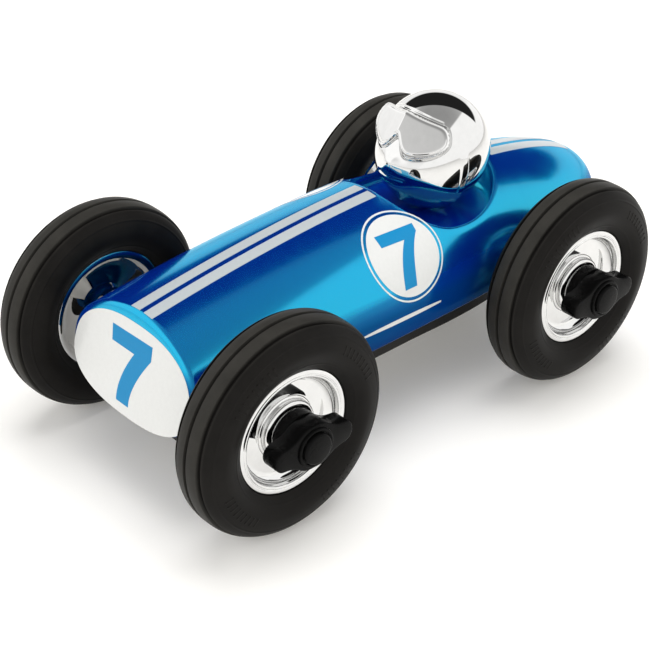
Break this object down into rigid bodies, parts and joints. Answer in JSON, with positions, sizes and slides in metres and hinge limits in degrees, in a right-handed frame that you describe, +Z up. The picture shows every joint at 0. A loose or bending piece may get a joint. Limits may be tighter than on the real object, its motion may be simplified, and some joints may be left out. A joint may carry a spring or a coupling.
{
  "type": "toy racing car",
  "caption": "Push-along toy racing car: rounded single-seat body, flat nose, chrome driver's head, smooth fat tyres on dished hubs with winged nuts.",
  "frame": {"origin": "on the ground, under the middle of the overall length and width", "axes": "+Z up, nose towards -Y, the car's left side towards +X, both axles along X"},
  "size_m": [0.122, 0.2153, 0.093],
  "materials": {
    "body_blue": "candy blue with a pearl sheen under clear gloss",
    "pan_grey": "dark grey, finely textured",
    "plated_chrome": "bright plating on moulded plastic",
    "steel": "drawn rod and zinc-plated screws",
    "nylon": "natural nylon",
    "rubber": "soft satin black rubber",
    "black_plastic": "satin black moulding",
    "print_white": "printed white of the nose face, side discs and rings",
    "print_silver": "printed silver-grey of the stripes and pinstripes",
    "print_blue": "printed blue of the numbers"
  },
  "bodies": {
    "car_body": {"body_shell": "body_blue", "chassis_pan": "pan_grey", "driver_head": "plated_chrome", "head_screw": "steel", "chassis_screws": "steel", "bush_fl": "nylon", "bush_fr": "nylon", "bush_rl": "nylon", "bush_rr": "nylon"},
    "front_wheels": {"front_axle": "steel", "spacer_fl": "nylon", "spacer_fr": "nylon", "hub_fl": "plated_chrome", "hub_fr": "plated_chrome", "tyre_fl": "rubber", "tyre_fr": "rubber", "spinner_fl": "black_plastic", "spinner_fr": "black_plastic"},
    "rear_wheels": {"rear_axle": "steel", "spacer_rl": "nylon", "spacer_rr": "nylon", "hub_rl": "plated_chrome", "hub_rr": "plated_chrome", "tyre_rl": "rubber", "tyre_rr": "rubber", "spinner_rl": "black_plastic", "spinner_rr": "black_plastic"}
  },
  "joints": [
    {"name": "front_axle_spin", "type": "hinge", "parent": "car_body", "child": "front_wheels", "pos_m": [0, -0.0727, 0.035], "axis": [1, 0, 0], "continuous": true},
    {"name": "rear_axle_spin", "type": "hinge", "parent": "car_body", "child": "rear_wheels", "pos_m": [0, 0.0533, 0.035], "axis": [1, 0, 0], "continuous": true}
  ]
}
